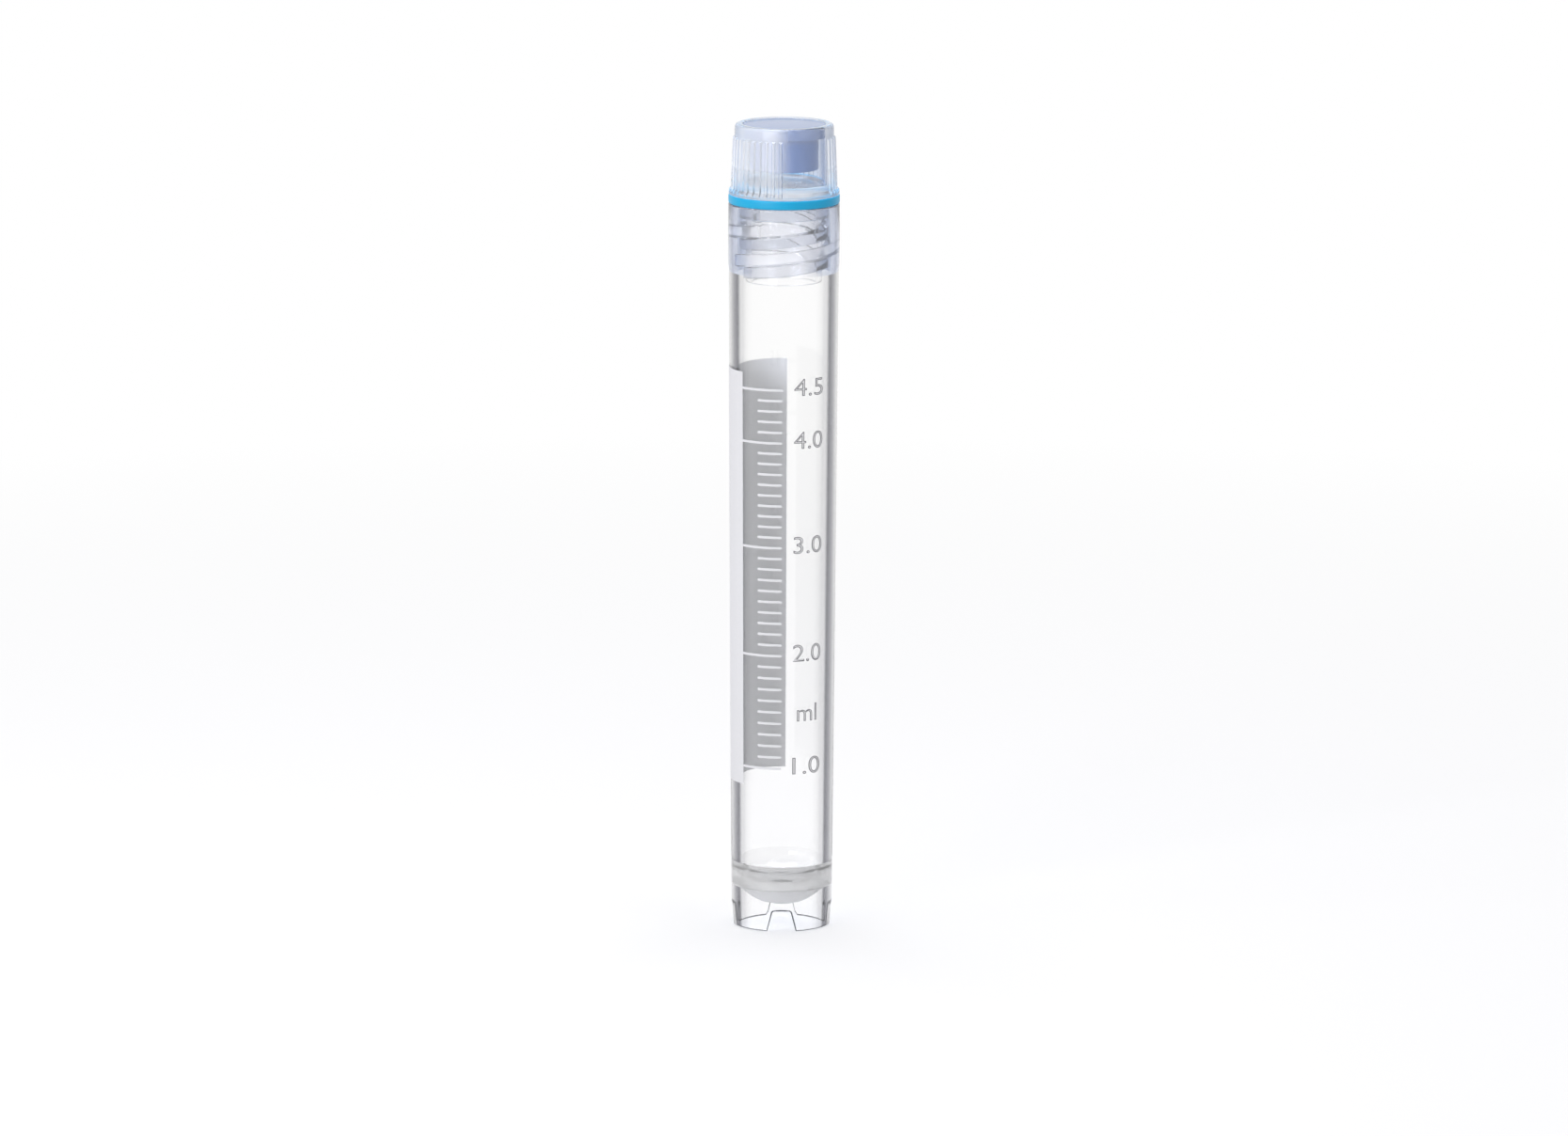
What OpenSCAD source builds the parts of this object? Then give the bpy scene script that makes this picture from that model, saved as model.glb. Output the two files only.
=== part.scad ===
// Self-standing 5 ml cryovial with an internal thread.
// A clear tube with a star foot is closed by a ribbed screw cap, which carries a gasket
// under its flange and a colour insert in its top. Millimetres, +Z up, the origin at the
// centre of the foot's underside. The graduated side faces -Y.

/* [Tube] */
// Height of the tube, from the foot to the rim
tube_height = 82.35; // [60:0.05:110]
// Outer diameter at the foot
foot_od = 11.3; // [10.8:0.05:11.8]
// Outer diameter of the body at the floor of the sample space
base_od = 11.45; // [11.2:0.05:12]
// Outer diameter of the body just under the collar
body_od = 12.35; // [11.9:0.05:12.4]
// Outer diameter of the collar
collar_od = 12.5; // [12.5:0.1:14]
// Height of the collar, from the rim down
collar_height = 6.65; // [5.5:0.05:9]
// Height of the slope from the collar to the body
collar_slope = 1; // [0.4:0.1:3]
// Bore in the neck, which is the root of the internal thread
neck_bore = 10.5; // [10.2:0.1:11]
// Bore just above the rounded floor
floor_bore = 9.4; // [8.6:0.1:9.8]
// Chamfer on the rim's edges
rim_chamfer = 0.2; // [0.1:0.05:0.35]

/* [Floor and star foot] */
// Depth of the rounded floor inside the tube
floor_depth = 2.7; // [2:0.1:3.6]
// Radius of the corner between the wall and the rounded floor
floor_corner = 1.6; // [0.8:0.1:1.9]
// Thickness of the floor on the axis
floor_thickness = 2.5; // [1:0.1:4]
// Height of the dome's lowest point above the surface
dome_clearance = 2.2; // [1.2:0.1:4]
// Radius of the dome under the floor
dome_radius = 6.3; // [5.6:0.1:9]
// Wall of the skirt that carries the tube
skirt_wall = 0.7; // [0.5:0.05:1.4]
// Diameter of the gate recess under the dome
gate_diameter = 2.4; // [1:0.1:3]
// Depth of the gate recess
gate_depth = 0.25; // [0.1:0.05:0.5]
// Notches in the skirt
notch_count = 4; // [3:1:6]
// Width of a notch at the surface
notch_width = 3.2; // [2.2:0.1:3.6]
// Width of a notch at its top
notch_top_width = 2; // [1:0.1:2.1]
// Height of a notch
notch_height = 2.3; // [1:0.1:3]
// Chamfer on the foot's outer edge
foot_chamfer = 0.2; // [0.1:0.05:0.4]

/* [Thread] */
// Rise of the thread in one turn
thread_pitch = 3.2; // [2.6:0.1:3.6]
// Height of a ridge above its wall
thread_depth = 0.7; // [0.4:0.05:0.8]
// Difference between a ridge's width at its root and at its crest
thread_flank = 0.4; // [0.2:0.05:0.8]
// Radial clearance between a crest and the wall it faces
thread_clearance = 0.25; // [0.15:0.05:0.4]
// Axial gap at the flanks that carry the load
flank_gap = 0.1; // [0.05:0.05:0.2]
// Axial play at the other flanks
flank_play = 0.4; // [0.2:0.05:0.6]
// Where the cap's thread starts, seen from above, 0 at +X
thread_start = -180; // [-360:5:360]
// Turn by which the tube's thread starts after the cap's thread
tube_thread_lag = 20; // [0:5:90]
// Gap between the tube's thread and the plain band above it
thread_top_gap = 0.35; // [0.2:0.05:0.8]
// Length of the fading end of a ridge in degrees
thread_fade = 35; // [15:5:60]

/* [Gasket] */
// Thickness of the gasket
gasket_thickness = 1; // [0.6:0.05:2]
// Radius of the gasket's outer edges
gasket_round = 0.15; // [0.05:0.05:0.25]
// Radial gap between the gasket and the stem
gasket_gap = 0.05; // [0.05:0.01:0.1]

/* [Cap] */
// Height of the cap above the gasket
grip_height = 7.95; // [6.5:0.05:14]
// Outer diameter of the smooth band at the top of the grip
grip_top_od = 11.05; // [10.8:0.05:11.4]
// Outer diameter of the grip's wall just above the flange
grip_base_od = 11.6; // [11.4:0.05:12]
// Height of the smooth band at the top
smooth_band = 1.4; // [0.8:0.1:2.5]
// Radius of the grip's upper outer edge
grip_round = 0.4; // [0.1:0.05:0.5]
// Diameter of the flange
flange_od = 12.4; // [12.3:0.05:13]
// Height of the flange's edge
flange_edge = 0.25; // [0.2:0.05:0.6]
// Height of the slope from the flange to the grip
flange_slope = 0.5; // [0.3:0.05:1]
// Ribs on the full circle, of which the smooth window takes some
rib_count = 44; // [24:1:60]
// Ribs left out for the smooth window
window_ribs = 7; // [0:1:12]
// Direction of the window's first edge, seen from above, 0 at +X
window_start = -90; // [-180:5:180]
// Height of a rib above the grip's wall
rib_height = 0.18; // [0.1:0.01:0.3]
// Width of a rib at the grip's wall
rib_width = 0.46; // [0.36:0.02:0.5]
// Width of a rib at its tip
rib_tip_width = 0.26; // [0.15:0.01:0.32]
// Length of the stem below the flange's gasket
stem_length = 8.8; // [7:0.05:12]
// Wall of the hollow stem
stem_wall = 0.65; // [0.5:0.05:1]
// Height of the plain band of the stem below the rim
seal_band = 1.5; // [1:0.05:2.2]
// Radial gap between the plain band and the neck's bore
seal_gap = 0.17; // [0.1:0.01:0.22]
// Thickness of the web between the stem's hollow and the grip's hollow
web_thickness = 1.2; // [0.8:0.1:2]
// Chamfer at the end of the stem
stem_chamfer = 0.2; // [0.1:0.05:0.3]

/* [Colour insert] */
// Diameter of the hollow in the grip that takes the insert
socket_bore = 9.3; // [8.6:0.1:9.5]
// Height of the socket's floor above the flange's underside
socket_floor = 1.25; // [0.8:0.05:1.6]
// Radial gap between the insert and its socket
insert_gap = 0.03; // [0.02:0.01:0.05]
// Depth of the insert's face below the grip's top
insert_recess = 0.12; // [0.1:0.01:0.6]
// Thickness of the insert's disc
insert_disc = 1.3; // [0.6:0.1:2]
// Height of the insert
insert_height = 5; // [3:0.1:5.5]
// Outer diameter of the insert's skirt, which stands clear of the socket
insert_skirt_od = 7.8; // [6:0.1:9]
// Wall of the insert's skirt
insert_wall = 0.65; // [0.4:0.05:1]

/* [Hidden] */
$fn = 96;
eps = 0.01;
axis_start = -90; // direction of the graduated side, seen from above

// Tube
foot_r = foot_od / 2;
base_r = base_od / 2;
body_r = body_od / 2;
collar_r = collar_od / 2;
bore_r = neck_bore / 2;
floor_r = floor_bore / 2;
skirt_r = foot_r - skirt_wall;
collar_z = tube_height - collar_height;
slope_z = collar_z - collar_slope;
dome_z = dome_clearance + dome_radius;
floor_low_z = dome_clearance + floor_thickness;
floor_wall_z = floor_low_z + floor_depth;
// The floor's crown is tangent to the corner and crosses the axis at the floor's depth
corner_centre_r = floor_r - floor_corner;
crown_r = (pow(corner_centre_r, 2) + pow(floor_depth, 2) - pow(floor_corner, 2))
    / (2 * (floor_depth - floor_corner));
crown_z = floor_low_z + crown_r;
crown_touch = crown_r / (crown_r - floor_corner);
crown_touch_r = corner_centre_r * crown_touch;
crown_touch_z = crown_z + (floor_wall_z - crown_z) * crown_touch;
notch_inset = 0.6; // reach of a notch inside the skirt
notch_flare = (notch_width - notch_top_width) / 2; // a notch's cutter runs on below the surface

// Thread pair: the crests of one part run near the root of the other
stem_crest_r = bore_r - thread_clearance;
seal_r = bore_r - seal_gap;
stem_r = stem_crest_r - thread_depth;
tube_crest_r = stem_r + thread_clearance;
ridge_room = thread_pitch - flank_gap - flank_play;
ridge_root = (ridge_room + thread_flank) / 2;
ridge_crest = (ridge_room - thread_flank) / 2;
thread_steps = 45; // straight pieces in one turn
thread_embed = 0.15; // depth of a ridge's root inside its wall

// Cap, measured upwards from the rim and the gasket
flange_z = tube_height + gasket_thickness;
cap_top_z = flange_z + grip_height;
stem_low_z = tube_height - stem_length;
seal_low_z = tube_height - seal_band;
stem_bore_r = stem_r - stem_wall;
socket_r = socket_bore / 2;
socket_z = flange_z + socket_floor;
stem_bore_top_z = socket_z - web_thickness;
grip_top_r = grip_top_od / 2;
grip_base_r = grip_base_od / 2;
flange_r = flange_od / 2;
grip_base_z = flange_z + flange_edge + flange_slope;
rib_top_z = cap_top_z - smooth_band;
grip_wall_top_z = cap_top_z - grip_round;
rib_low_z = flange_z + flange_edge;
rib_inset = 0.2; // depth of a rib's root inside the grip's wall
rib_spare = 0.2; // length of a rib's blank past its outline
rib_side = (rib_width - rib_tip_width) / rib_height; // growth of a rib's width towards its root
grip_tilt = atan((grip_base_r - grip_top_r) / (grip_wall_top_z - grip_base_z));

// The cap's thread starts just above the stem's end and fades into the plain band
cap_thread_z = stem_low_z + stem_chamfer + ridge_root / 2;
cap_thread_sweep = 360 * (seal_low_z - cap_thread_z) / thread_pitch;
// The tube's thread runs over the cap's thread, with its lower flank on the cap's upper flank
flank_step = (ridge_root + ridge_crest) / 2 + flank_gap;
tube_thread_start = thread_start + tube_thread_lag;
tube_thread_z = cap_thread_z + thread_pitch * tube_thread_lag / 360 + flank_step;
tube_thread_top_z = seal_low_z - thread_top_gap - ridge_root / 2;
tube_thread_sweep = 360 * (tube_thread_top_z - tube_thread_z) / thread_pitch;

// Insert
insert_r = socket_r - insert_gap;
insert_skirt_r = insert_skirt_od / 2;
insert_top_z = cap_top_z - insert_recess;
insert_low_z = insert_top_z - insert_height;

// Corners of one section of a ridge, from its root's low side to its root's high side
function ridge_section(angle, z, root_r, crest_r) =
    let (half_root = ridge_root / 2, half_crest = ridge_crest / 2)
    [for (c = [[root_r, -half_root], [crest_r, -half_crest], [crest_r, half_crest], [root_r, half_root]])
        [c[0] * cos(angle), c[0] * sin(angle), z + c[1]]];

// Share of the ridge's full height at an angle from its start, fading at both ends
function ridge_share(angle, sweep) = max(0.05, min(1, angle / thread_fade, (sweep - angle) / thread_fade));

// A right-hand helical ridge on a wall of radius wall_r, whose crest stands at crest_r
module thread_ridge(wall_r, crest_r, start_angle, start_z, sweep) {
    steps = ceil(sweep / 360 * thread_steps);
    outward = crest_r > wall_r;
    root_r = wall_r + (outward ? -thread_embed : thread_embed);
    points = [for (i = [0:steps])
        let (angle = sweep * i / steps)
        let (tip_r = wall_r + (crest_r - wall_r) * ridge_share(angle, sweep))
        each ridge_section(start_angle + angle, start_z + thread_pitch * angle / 360, root_r, tip_r)];
    last = 4 * steps;
    sides = [for (i = [0:steps - 1], k = [0:3])
        let (a = 4 * i + k, b = 4 * i + (k + 1) % 4)
        each [[a, a + 4, b + 4], [a, b + 4, b]]];
    ends = [[0, 1, 2], [0, 2, 3], [last + 2, last + 1, last], [last + 3, last + 2, last]];
    faces = concat(sides, ends);
    polyhedron(points, outward ? [for (f = faces) [f[2], f[1], f[0]]] : faces);
}

// Half section of the tube's outside: the skirt tapers more than the body
module tube_outside() {
    polygon([
        [0, 0],
        [foot_r - foot_chamfer, 0],
        [foot_r, foot_chamfer],
        [base_r, floor_wall_z],
        [body_r, slope_z],
        [collar_r, collar_z],
        [collar_r, tube_height - rim_chamfer],
        [collar_r - rim_chamfer, tube_height],
        [0, tube_height]
    ]);
}

// Half section of the sample space: tapered bore, rounded corner and crown
module sample_space() {
    polygon([
        [0, floor_wall_z],
        [floor_r, floor_wall_z],
        [bore_r, slope_z],
        [bore_r, tube_height - rim_chamfer],
        [bore_r + rim_chamfer, tube_height],
        [bore_r + rim_chamfer, tube_height + eps],
        [0, tube_height + eps]
    ]);
    intersection() {
        translate([corner_centre_r, floor_wall_z]) circle(floor_corner);
        translate([0, floor_low_z]) square([floor_r, floor_depth]);
    }
    intersection() {
        translate([0, crown_z]) circle(crown_r);
        // The crown ends where it touches the corner's arc
        polygon([
            [0, floor_low_z - eps],
            [0, floor_wall_z],
            [corner_centre_r, floor_wall_z],
            [crown_touch_r, crown_touch_z],
            [crown_touch_r, floor_low_z - eps]
        ]);
    }
}

// Half section of the space between the dome and the surface
module space_under_dome() {
    difference() {
        translate([0, -eps]) square([skirt_r, dome_z]);
        translate([0, dome_z]) circle(dome_radius);
    }
}

// Cutter for one notch, pointing along +X
module notch() {
    translate([skirt_r - notch_inset, 0, 0])
        rotate([90, 0, 90])
            linear_extrude(foot_r)
                polygon([
                    [-notch_width / 2 - notch_flare, -notch_height],
                    [notch_width / 2 + notch_flare, -notch_height],
                    [notch_top_width / 2, notch_height],
                    [-notch_top_width / 2, notch_height]
                ]);
}

// Tube with its internal thread and its star foot
module tube() {
    color("whitesmoke") {
        difference() {
            rotate_extrude()
                difference() {
                    tube_outside();
                    sample_space();
                    space_under_dome();
                }
            for (i = [0:notch_count - 1])
                rotate(axis_start + 360 * i / notch_count) notch();
            translate([0, 0, dome_clearance - eps]) cylinder(r = gate_diameter / 2, h = gate_depth + eps);
        }
        thread_ridge(bore_r, tube_crest_r, tube_thread_start, tube_thread_z, tube_thread_sweep);
    }
}

// Radius of the grip's wall at a height
function grip_wall(z) = grip_base_r - (z - grip_base_z) * tan(grip_tilt);

// Half section of the cap's outside without its ribs
module cap_outside() {
    polygon([
        [0, stem_low_z],
        [stem_r - stem_chamfer, stem_low_z],
        [stem_r, stem_low_z + stem_chamfer],
        [stem_r, seal_low_z],
        [seal_r, seal_low_z],
        [seal_r, flange_z],
        [flange_r, flange_z],
        [flange_r, flange_z + flange_edge],
        [grip_base_r, grip_base_z],
        [grip_top_r, grip_wall_top_z],
        [grip_top_r - grip_round, grip_wall_top_z],
        [grip_top_r - grip_round, cap_top_z],
        [0, cap_top_z]
    ]);
    intersection() {
        translate([grip_top_r - grip_round, grip_wall_top_z]) circle(grip_round);
        translate([0, grip_wall_top_z - eps]) square([grip_top_r, grip_round + eps]);
    }
}

// Half section of the ring in which the ribs lie, with sloping upper ends
module rib_outline() {
    slope_start_z = rib_top_z - rib_height;
    polygon([
        [grip_wall(rib_low_z) - rib_inset, rib_low_z],
        [grip_wall(rib_low_z) + rib_height, rib_low_z],
        [grip_wall(slope_start_z) + rib_height, slope_start_z],
        [grip_wall(rib_top_z), rib_top_z],
        [grip_wall(rib_top_z) - rib_inset, rib_top_z]
    ]);
}

// Blank of one rib, pointing along +X and leaning with the grip's wall
module rib_blank() {
    low_z = rib_low_z - rib_spare;
    high = rib_height + rib_spare;
    root_half = rib_width / 2 + rib_side * rib_inset / 2;
    tip_half = max(rib_tip_width / 2 - rib_side * rib_spare / 2, eps);
    translate([grip_wall(low_z), 0, low_z])
        rotate([0, -grip_tilt, 0])
            linear_extrude(rib_top_z - low_z + rib_spare)
                polygon([[-rib_inset, -root_half], [high, -tip_half], [high, tip_half], [-rib_inset, root_half]]);
}

// Ribs around the grip, apart from the smooth window
module ribs() {
    intersection() {
        rotate_extrude() rib_outline();
        for (i = [window_ribs:rib_count - 1])
            rotate(window_start + 360 * (i + 0.5) / rib_count) rib_blank();
    }
}

// Screw cap: ribbed grip, flange and hollow stem with the external thread
module cap() {
    color("lightsteelblue") {
        difference() {
            union() {
                rotate_extrude() cap_outside();
                ribs();
            }
            translate([0, 0, stem_low_z - eps])
                cylinder(r = stem_bore_r, h = stem_bore_top_z - stem_low_z + eps);
            translate([0, 0, socket_z]) cylinder(r = socket_r, h = cap_top_z - socket_z + eps);
        }
        thread_ridge(stem_r, stem_crest_r, thread_start, cap_thread_z, cap_thread_sweep);
    }
}

// Flat sealing ring between the flange and the rim, with rounded outer edges
module gasket() {
    inner_r = seal_r + gasket_gap;
    color("deepskyblue")
        rotate_extrude() {
            translate([inner_r, tube_height]) square([collar_r - gasket_round - inner_r, gasket_thickness]);
            translate([inner_r, tube_height + gasket_round])
                square([collar_r - inner_r, gasket_thickness - 2 * gasket_round]);
            for (z = [tube_height + gasket_round, flange_z - gasket_round])
                translate([collar_r - gasket_round, z]) circle(gasket_round);
        }
}

// Colour insert: a disc with a narrower skirt, pressed into the top of the cap
module cap_insert() {
    skirt_height = insert_height - insert_disc;
    color("lavender")
        difference() {
            union() {
                translate([0, 0, insert_low_z + skirt_height]) cylinder(r = insert_r, h = insert_disc);
                translate([0, 0, insert_low_z]) cylinder(r = insert_skirt_r, h = skirt_height + eps);
            }
            translate([0, 0, insert_low_z - eps])
                cylinder(r = insert_skirt_r - insert_wall, h = skirt_height + eps);
        }
}

tube();
cap();
gasket();
cap_insert();
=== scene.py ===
import math

import bmesh
import bpy
from mathutils import Matrix, Vector


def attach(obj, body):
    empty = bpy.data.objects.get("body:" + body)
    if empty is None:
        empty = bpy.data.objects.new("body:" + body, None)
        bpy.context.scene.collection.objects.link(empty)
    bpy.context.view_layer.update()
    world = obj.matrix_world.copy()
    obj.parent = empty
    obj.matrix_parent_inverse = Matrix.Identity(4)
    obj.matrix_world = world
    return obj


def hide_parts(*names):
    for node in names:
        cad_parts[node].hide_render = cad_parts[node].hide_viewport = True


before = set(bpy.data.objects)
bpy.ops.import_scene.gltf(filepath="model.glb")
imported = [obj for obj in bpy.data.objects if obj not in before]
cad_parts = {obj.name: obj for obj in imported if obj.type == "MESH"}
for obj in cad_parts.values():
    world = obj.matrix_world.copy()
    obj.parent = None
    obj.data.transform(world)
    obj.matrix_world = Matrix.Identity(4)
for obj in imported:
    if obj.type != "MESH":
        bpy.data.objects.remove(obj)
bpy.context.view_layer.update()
print("frame loaded:", sorted(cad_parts))

mm = 0.001
scene = bpy.context.scene
scene.view_settings.view_transform = "Standard"

# how round shapes are drawn: degrees to a step of a fillet, the share of a side that a fillet may take,
# and how close points are before they become one, in metres
drawing = {"filletStep": 12, "filletShare": 0.48, "mergeNear": 1e-6, "mergeFine": 1e-7}


# Small helpers, shared by all pieces

def fromHex(code):
    # an sRGB hex colour as the linear values that Blender works with
    channels = [int(code[i:i + 2], 16) / 255 for i in (1, 3, 5)]
    linear = [c / 12.92 if c <= 0.04045 else ((c + 0.055) / 1.055) ** 2.4 for c in channels]
    return (*linear, 1.0)


def grey(level):
    return (level, level, level, 1)


def addNode(tree, kind, inputs=None, **settings):
    node = tree.nodes.new(kind)
    node.location = (220 * (len(tree.nodes) % 8), -260 * (len(tree.nodes) // 8))
    for name, value in settings.items():
        setattr(node, name, value)
    for socket, value in (inputs or {}).items():
        if isinstance(value, bpy.types.NodeSocket):
            tree.links.new(value, node.inputs[socket])
        else:
            node.inputs[socket].default_value = value
    return node


def newTree(name):
    material = bpy.data.materials.new(name)
    material.use_nodes = True
    material.node_tree.nodes.clear()
    return material, material.node_tree


def setRamp(node, tones):
    ramp = node.color_ramp
    while len(ramp.elements) > 1:
        ramp.elements.remove(ramp.elements[-1])
    for i, (place, tone) in enumerate(tones):
        element = ramp.elements[0] if i == 0 else ramp.elements.new(place)
        element.position = place
        element.color = fromHex(tone)


def at(radius, degrees, height):
    # a place on the vial in mm: 0 degrees is the graduated side, positive turns to the right
    turn = math.radians(degrees - 90)
    return Vector((radius * math.cos(turn), radius * math.sin(turn), height))


def roundedLine(corners):
    # (radius, height, fillet) corners, each fillet drawn as an arc of short steps
    points = []
    for i, (radius, height, fillet) in enumerate(corners):
        here = Vector((radius, height))
        if not fillet:
            points.append(here)
            continue
        before = Vector(corners[i - 1][:2]) - here
        after = Vector(corners[(i + 1) % len(corners)][:2]) - here
        half = before.angle(after) / 2
        share = drawing["filletShare"]
        reach = min(fillet / math.tan(half), share * before.length, share * after.length)
        before.normalize()
        after.normalize()
        centre = here + (before + after).normalized() * reach / math.cos(half)
        start = here + before * reach - centre
        turn = (math.pi - 2 * half) * (1 if before.cross(after) < 0 else -1)
        steps = max(2, math.ceil(abs(math.degrees(turn)) / drawing["filletStep"]))
        points += [centre + Matrix.Rotation(turn * k / steps, 2) @ start for k in range(steps + 1)]
    return points


def arcLine(radius, height, size, first, last, steps):
    # an arc in a half section, round a centre at a radius and a height
    turns = [math.radians(first + (last - first) * k / steps) for k in range(steps + 1)]
    return [Vector((radius + size * math.cos(t), height + size * math.sin(t))) for t in turns]


def spunShape(points, steps, closed=False):
    # a half section in mm, spun once round the vial's axis
    shape = bmesh.new()
    verts = [shape.verts.new((p.x * mm, 0, p.y * mm)) for p in points]
    pairs = list(zip(verts, verts[1:])) + ([(verts[-1], verts[0])] if closed else [])
    edges = [shape.edges.new(pair) for pair in pairs]
    bmesh.ops.spin(shape, geom=verts + edges, cent=(0, 0, 0), axis=(0, 0, 1), dvec=(0, 0, 0),
                   angle=math.tau, steps=steps, use_merge=True)
    bmesh.ops.remove_doubles(shape, verts=shape.verts, dist=drawing["mergeNear"])
    bmesh.ops.recalc_face_normals(shape, faces=shape.faces)
    return shape


# the form that the tube's and the cap's thread share, in mm and degrees: a ridge fades in and out over
# "fade", starts no lower than "least" of its full height, and its root is sunk a little in the wall
threadForm = {"pitch": 3.2, "root": 1.55, "tip": 1.15, "round": 0.16, "fade": 35, "least": 0.05,
              "sunk": 0.15, "step": 4}


def helixRidge(ridge, wall):
    # a thread ridge: its section is swept up the helix and fades into the wall at both ends
    crest = ridge["crest"]
    inside = wall + (ridge["sunk"] if crest < wall else -ridge["sunk"])
    section = roundedLine([(inside, -ridge["root"] / 2, 0), (crest, -ridge["tip"] / 2, ridge["round"]),
                           (crest, ridge["tip"] / 2, ridge["round"]), (inside, ridge["root"] / 2, 0)])
    shape = bmesh.new()
    verts = [shape.verts.new((p.x * mm, 0, (ridge["low"] + p.y) * mm)) for p in section]
    edges = [shape.edges.new(pair) for pair in zip(verts, verts[1:] + verts[:1])]
    steps = math.ceil(ridge["sweep"] / ridge["step"])
    bmesh.ops.rotate(shape, verts=verts, cent=(0, 0, 0),
                     matrix=Matrix.Rotation(math.radians(ridge["start"]), 3, "Z"))
    rise = ridge["pitch"] * ridge["sweep"] / 360 / steps * mm
    bmesh.ops.spin(shape, geom=verts + edges, cent=(0, 0, 0), axis=(0, 0, 1), dvec=(0, 0, rise),
                   angle=math.radians(ridge["sweep"]), steps=steps, use_merge=False)
    bmesh.ops.holes_fill(shape, edges=shape.edges, sides=len(section))
    for v in shape.verts:
        climbed = (v.co.z / mm - ridge["low"]) / ridge["pitch"] * 360
        turned = math.degrees(math.atan2(v.co.y, v.co.x)) - ridge["start"]
        turned += 360 * round((climbed - turned) / 360)
        share = max(ridge["least"], min(1, turned / ridge["fade"], (ridge["sweep"] - turned) / ridge["fade"]))
        radius = v.co.xy.length / mm
        if (radius - wall) * (crest - wall) > 0:
            faded = wall + (radius - wall) * share
            v.co.xy *= faded / radius
    bmesh.ops.recalc_face_normals(shape, faces=shape.faces)
    return shape


def newObject(name, shape):
    mesh = bpy.data.meshes.new(name)
    shape.to_mesh(mesh)
    shape.free()
    piece = bpy.data.objects.new(name, mesh)
    scene.collection.objects.link(piece)
    return piece


def combine(piece, other, operation):
    # joins or cuts with another closed mesh, which is then thrown away
    tool = piece.modifiers.new(operation.lower(), "BOOLEAN")
    tool.operation = operation
    tool.solver = "EXACT"
    tool.object = other
    bpy.context.view_layer.update()
    solid = piece.evaluated_get(bpy.context.evaluated_depsgraph_get())
    result = bpy.data.meshes.new_from_object(solid)
    piece.modifiers.clear()
    old, piece.data = piece.data, result
    bpy.data.meshes.remove(old)
    bpy.data.objects.remove(other)


def finishPiece(piece, finishes, body, node=None, sharp=35, placeOf=None):
    # finishes holds the material of each place on the piece, and placeOf tells a face's place
    piece.data.materials.clear()
    for material in finishes.values():
        piece.data.materials.append(material)
    places = list(finishes)
    for face in piece.data.polygons if placeOf else []:
        face.material_index = places.index(placeOf(face))
    piece.data.shade_smooth()
    piece.data.set_sharp_from_angle(angle=math.radians(sharp))
    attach(piece, body)
    if node:
        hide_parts(node)
    print(piece.name, "has", len(piece.data.polygons), "faces")


# Plastics: moulded polypropylene, clear or matt, and silicone

moulding = {"ior": 1.49, "roughSpread": 0.4, "bumpDepth": 0.02, "mattSpread": 0.08, "glowReach": 0.6}


def facingRoundAxis(tree):
    # how far a wall turns away round the vial's own axis, from 0 to 1, so it stays clear from above
    axis = addNode(tree, "ShaderNodeVectorTransform", {"Vector": (0, 0, 1)}, vector_type="NORMAL",
                   convert_from="OBJECT", convert_to="WORLD").outputs["Vector"]
    away = addNode(tree, "ShaderNodeLayerWeight", {"Blend": 0.5}).outputs["Facing"]
    level = addNode(tree, "ShaderNodeLayerWeight", {"Blend": 0.5, "Normal": axis}).outputs["Facing"]
    toward = addNode(tree, "ShaderNodeMath", {0: 1, 1: away}, operation="SUBTRACT").outputs["Value"]
    steep = addNode(tree, "ShaderNodeMath", {0: 1, 1: level}, operation="SUBTRACT").outputs["Value"]
    squared = addNode(tree, "ShaderNodeMath", {0: steep, 1: steep}, operation="MULTIPLY").outputs["Value"]
    flat = addNode(tree, "ShaderNodeMath", {0: 1, 1: squared}, operation="SUBTRACT").outputs["Value"]
    flat = addNode(tree, "ShaderNodeMath", {0: flat}, operation="SQRT").outputs["Value"]
    share = addNode(tree, "ShaderNodeMath", {0: toward, 1: flat}, operation="DIVIDE").outputs["Value"]
    return addNode(tree, "ShaderNodeMath", {0: 1, 1: share}, operation="SUBTRACT").outputs["Value"]


def windowPolish(tree, turn, height, window):
    # 1 on the smooth window of a grip: it fades in and out by degrees round the axis and by height

    def turnAt(degrees):
        return degrees / 360 + 0.5  # what a radial gradient reads at an angle

    soft = window["fade"]
    fades = [
        (turn, turnAt(window["from"] - window["fadeIn"]), turnAt(window["from"] + window["fadeIn"]), 0, 1),
        (turn, turnAt(window["to"] - window["fadeOut"]), turnAt(window["to"]), 1, 0),
        (height, (window["low"] - soft) * mm, (window["low"] + soft) * mm, 0, 1),
        (height, (window["high"] - soft) * mm, (window["high"] + soft) * mm, 1, window["bandPolish"]),
    ]
    polish = 1
    for value, start, end, before, after in fades:
        share = addNode(tree, "ShaderNodeMapRange", {
            "Value": value, "From Min": start, "From Max": end, "To Min": before, "To Max": after},
            interpolation_type="SMOOTHSTEP").outputs["Result"]
        polish = addNode(tree, "ShaderNodeMath", {0: polish, 1: share}, operation="MULTIPLY").outputs["Value"]
    return polish


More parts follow.
